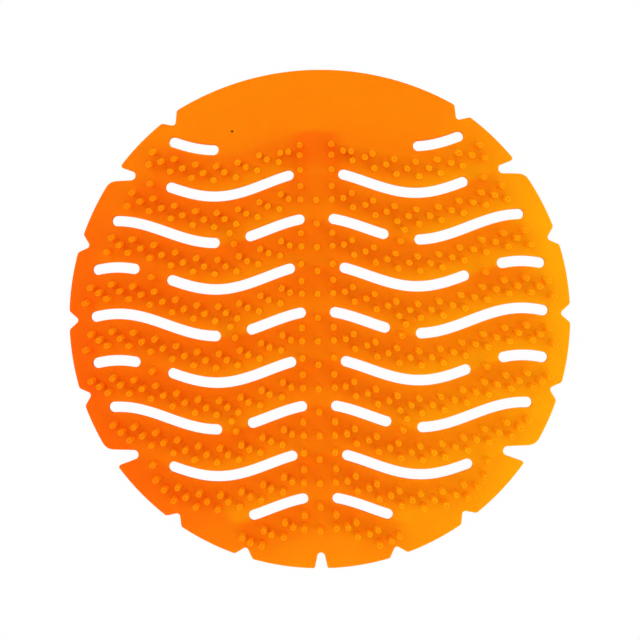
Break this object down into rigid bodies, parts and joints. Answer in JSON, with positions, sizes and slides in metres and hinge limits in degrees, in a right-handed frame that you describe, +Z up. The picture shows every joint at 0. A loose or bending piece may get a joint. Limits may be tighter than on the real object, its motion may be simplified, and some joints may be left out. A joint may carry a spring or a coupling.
{
  "type": "urinal deodorizer screen",
  "caption": "Flat round soft-rubber screen with wavy drain slots, a notched rim and rows of upright anti-splash pins; lies in a urinal bowl over the drain.",
  "frame": {"origin": "middle of the round sheet on its flat underside, which is the face it rests on", "axes": "+Z up out of the pinned face, +Y towards the plain crescent, +X to the right as seen from above; the screen mirrors itself about the YZ plane"},
  "size_m": [0.1798, 0.1791, 0.01],
  "materials": {
    "eva": "soft satin, slightly translucent orange EVA"
  },
  "bodies": {
    "root": {"screen": "eva"}
  },
  "joints": []
}
